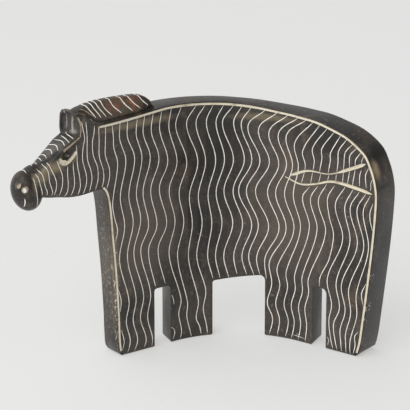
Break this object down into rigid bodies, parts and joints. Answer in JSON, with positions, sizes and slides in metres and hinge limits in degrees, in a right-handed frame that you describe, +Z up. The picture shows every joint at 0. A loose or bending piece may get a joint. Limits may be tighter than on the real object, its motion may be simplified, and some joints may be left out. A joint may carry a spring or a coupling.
{
  "type": "zebra figurine",
  "caption": "Zebra figurine carved in one piece from a bowed slab of dark stone, with fine cut stripes, a cut mane and a small head; it stands on its feet.",
  "frame": {"origin": "middle of the footprint's bounding box, on the surface that the feet stand on", "axes": "+Z up, +X from the muzzle to the rump, +Y to the back of the bow, so the carved face looks along -Y"},
  "size_m": [0.1542, 0.0592, 0.1104],
  "materials": {
    "dark_stone": "near-black soapstone, waxed to a satin polish, with pale cut lines"
  },
  "bodies": {
    "root": {"zebra": "dark_stone"}
  },
  "joints": []
}
